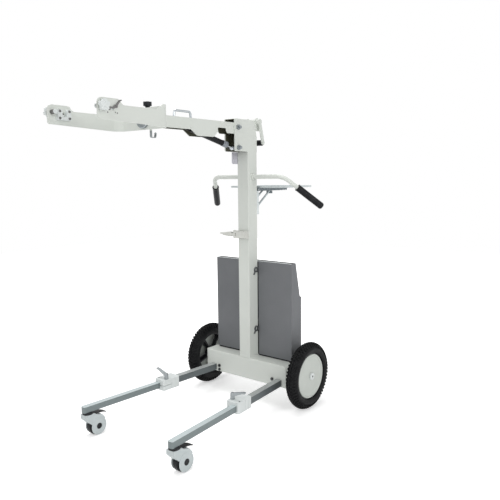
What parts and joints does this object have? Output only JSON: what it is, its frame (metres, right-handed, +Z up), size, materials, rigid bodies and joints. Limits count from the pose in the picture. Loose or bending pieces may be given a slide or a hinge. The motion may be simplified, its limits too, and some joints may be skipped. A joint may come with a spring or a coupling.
{
  "type": "mobile x-ray head stand",
  "caption": "Wheeled stand for a portable x-ray head: mast, balanced arm, rolling fork, splayed telescopic legs, detector bin, folding tray.",
  "frame": {"origin": "on the floor in the middle of the stand's box", "axes": "+Z up, the arm and the legs point to -Y, +X is the side of the accessory-free mast face"},
  "size_m": [0.641, 1.218, 1.303],
  "materials": {
    "white_paint": "white powder coat, slightly textured",
    "black_rubber": "matt black rubber",
    "black_tyre": "matt black tyre rubber",
    "black_plastic": "matt black moulded plastic",
    "white_plastic": "matt white moulded plastic",
    "light_plastic": "matt light grey moulded plastic",
    "grey_plastic": "matt mid grey moulded plastic",
    "lilac_plastic": "matt lilac grey moulded plastic",
    "bin_paint": "mid grey powder coat",
    "leg_aluminium": "satin anodised aluminium",
    "lever_metal": "cast grey aluminium",
    "zinc_steel": "bright zinc plated steel",
    "polished_chrome": "polished chrome",
    "black_paint": "satin black paint"
  },
  "bodies": {
    "base": {"crossbeam": "white_paint", "frame_bolts": "zinc_steel", "head_bolts": "zinc_steel", "stub_axles": "zinc_steel", "outer_leg_left": "leg_aluminium", "outer_leg_right": "leg_aluminium", "leg_clamp_left": "white_plastic", "leg_clamp_right": "white_plastic", "mast_tube": "white_paint", "mast_head": "white_paint", "handlebar": "white_paint", "grips": "black_rubber", "detector_bin": "bin_paint", "tray_brackets": "zinc_steel", "accessory_clamp": "lever_metal", "cable_clips": "grey_plastic", "cable_tab": "lilac_plastic", "bail_bracket": "white_paint"},
    "arm": {"arm_channel": "white_paint", "arm_handle": "polished_chrome", "roll_housing": "white_paint"},
    "strut_lower": {"strut_rod": "polished_chrome"},
    "strut_upper": {"strut_cylinder": "black_paint", "strut_collar": "zinc_steel"},
    "fork": {"fork_plate": "white_paint", "saddles": "white_plastic", "fork_hardware": "zinc_steel", "roll_spindle": "zinc_steel"},
    "roll_lock": {"roll_knob": "black_plastic"},
    "tray": {"tray_plate": "white_paint", "tray_arms": "white_paint"},
    "tray_stay": {"tray_struts": "zinc_steel"},
    "release": {"tray_release": "black_paint"},
    "jaw": {"accessory_jaw": "lever_metal"},
    "bail": {"rear_bail": "white_paint"},
    "roller": {"bail_roller": "black_rubber"},
    "wheel_left": {"tyre_left": "black_tyre", "rim_left": "black_plastic", "wheel_cover_left": "white_plastic"},
    "leg_left": {"inner_leg_left": "leg_aluminium", "caster_neck_left": "black_plastic"},
    "lever_left": {"clamp_lever_left": "lever_metal"},
    "caster_left": {"caster_fork_left": "light_plastic"},
    "caster_wheel_left": {"caster_core_left": "light_plastic", "caster_tread_left": "black_rubber"},
    "pedal_left": {"brake_pedal_left": "black_plastic"},
    "tip_clamp_left": {"tip_knob_left": "white_plastic"},
    "latch_left": {"keeper_left": "zinc_steel"},
    "wheel_right": {"tyre_right": "black_tyre", "rim_right": "black_plastic", "wheel_cover_right": "white_plastic"},
    "leg_right": {"inner_leg_right": "leg_aluminium", "caster_neck_right": "black_plastic"},
    "lever_right": {"clamp_lever_right": "lever_metal"},
    "caster_right": {"caster_fork_right": "light_plastic"},
    "caster_wheel_right": {"caster_core_right": "light_plastic", "caster_tread_right": "black_rubber"},
    "pedal_right": {"brake_pedal_right": "black_plastic"},
    "tip_clamp_right": {"tip_knob_right": "white_plastic"},
    "latch_right": {"keeper_right": "zinc_steel"}
  },
  "joints": [
    {"name": "wheel_spin_left", "type": "hinge", "parent": "base", "child": "wheel_left", "pos_m": [-0.292, 0.35, 0.149], "axis": [1, 0, 0], "continuous": true},
    {"name": "leg_slide_left", "type": "slide", "parent": "base", "child": "leg_left", "axis": [-0.0776, -0.997, 0], "range_m": [-0.14, 0.12]},
    {"name": "lever_turn_left", "type": "hinge", "parent": "base", "child": "lever_left", "pos_m": [-0.19159, -0.04899, 0.142], "axis": [0, 0, 1], "range_deg": [-45, 45]},
    {"name": "caster_swivel_left", "type": "hinge", "parent": "leg_left", "child": "caster_left", "pos_m": [-0.24608, -0.4269, 0.096], "axis": [0, 0, 1], "continuous": true},
    {"name": "caster_spin_left", "type": "hinge", "parent": "caster_left", "child": "caster_wheel_left", "pos_m": [-0.24608, -0.3889, 0.0375], "axis": [1, 0, 0], "continuous": true},
    {"name": "pedal_press_left", "type": "hinge", "parent": "caster_left", "child": "pedal_left", "pos_m": [-0.24608, -0.4029, 0.09], "axis": [1, 0, 0], "range_deg": [-8, 0]},
    {"name": "tip_clamp_turn_left", "type": "hinge", "parent": "fork", "child": "tip_clamp_left", "pos_m": [-0.138, -0.592, 1.252], "axis": [1, 0, 0], "continuous": true},
    {"name": "latch_swing_left", "type": "hinge", "parent": "fork", "child": "latch_left", "pos_m": [-0.14, -0.537, 1.253], "axis": [-1, 0, 0], "range_deg": [0, 35]},
    {"name": "wheel_spin_right", "type": "hinge", "parent": "base", "child": "wheel_right", "pos_m": [0.292, 0.35, 0.149], "axis": [1, 0, 0], "continuous": true},
    {"name": "leg_slide_right", "type": "slide", "parent": "base", "child": "leg_right", "axis": [0.0776, -0.997, 0], "range_m": [-0.14, 0.12]},
    {"name": "lever_turn_right", "type": "hinge", "parent": "base", "child": "lever_right", "pos_m": [0.19159, -0.04899, 0.142], "axis": [0, 0, 1], "range_deg": [-45, 45]},
    {"name": "caster_swivel_right", "type": "hinge", "parent": "leg_right", "child": "caster_right", "pos_m": [0.24608, -0.4269, 0.096], "axis": [0, 0, 1], "continuous": true},
    {"name": "caster_spin_right", "type": "hinge", "parent": "caster_right", "child": "caster_wheel_right", "pos_m": [0.24608, -0.3889, 0.0375], "axis": [1, 0, 0], "continuous": true},
    {"name": "pedal_press_right", "type": "hinge", "parent": "caster_right", "child": "pedal_right", "pos_m": [0.24608, -0.4029, 0.09], "axis": [1, 0, 0], "range_deg": [-8, 0]},
    {"name": "tip_clamp_turn_right", "type": "hinge", "parent": "fork", "child": "tip_clamp_right", "pos_m": [0.138, -0.592, 1.252], "axis": [1, 0, 0], "continuous": true},
    {"name": "latch_swing_right", "type": "hinge", "parent": "fork", "child": "latch_right", "pos_m": [0.14, -0.537, 1.253], "axis": [-1, 0, 0], "range_deg": [0, 35]},
    {"name": "arm_lift", "type": "hinge", "parent": "base", "child": "arm", "pos_m": [0, 0.2, 1.24], "axis": [-1, 0, 0], "range_deg": [-12, 25]},
    {"name": "strut_swing", "type": "hinge", "parent": "base", "child": "strut_lower", "pos_m": [0, 0.202, 1.154], "axis": [-1, 0, 0], "range_deg": [-10.8, 22.5]},
    {"name": "strut_stroke", "type": "slide", "parent": "strut_lower", "child": "strut_upper", "axis": [0, -0.9701, 0.2425], "range_m": [-0.01662, 0.03456]},
    {"name": "fork_roll", "type": "hinge", "parent": "arm", "child": "fork", "pos_m": [0, -0.303, 1.237], "axis": [0, 1, 0], "range_deg": [-90, 90]},
    {"name": "roll_lock_turn", "type": "hinge", "parent": "arm", "child": "roll_lock", "pos_m": [0, -0.281, 1.283], "axis": [0, 0, 1], "continuous": true},
    {"name": "tray_fold", "type": "hinge", "parent": "base", "child": "tray", "pos_m": [0, 0.344, 0.969], "axis": [1, 0, 0], "range_deg": [-84, 0]},
    {"name": "tray_stay_swing", "type": "hinge", "parent": "base", "child": "tray_stay", "pos_m": [0, 0.344, 0.894], "axis": [1, 0, 0], "range_deg": [-116.68, 0]},
    {"name": "release_press", "type": "hinge", "parent": "tray", "child": "release", "pos_m": [0, 0.466, 0.969], "axis": [1, 0, 0], "range_deg": [0, 20]},
    {"name": "jaw_swing", "type": "hinge", "parent": "base", "child": "jaw", "pos_m": [-0.043, 0.259, 0.77], "axis": [0, 0, 1], "range_deg": [-20, 90]},
    {"name": "bail_swing", "type": "hinge", "parent": "base", "child": "bail", "pos_m": [0, 0.34, 1.271], "axis": [1, 0, 0], "range_deg": [-10, 100]},
    {"name": "roller_spin", "type": "hinge", "parent": "bail", "child": "roller", "pos_m": [0, 0.364, 1.18], "axis": [1, 0, 0], "continuous": true}
  ],
  "couplings": [
    {"joint": "strut_swing", "follows": "arm_lift", "ratio": 0.9},
    {"joint": "strut_stroke", "follows": "arm_lift", "m_per_rad": 0.0791},
    {"joint": "tray_stay_swing", "follows": "tray_fold", "ratio": 1.389}
  ]
}
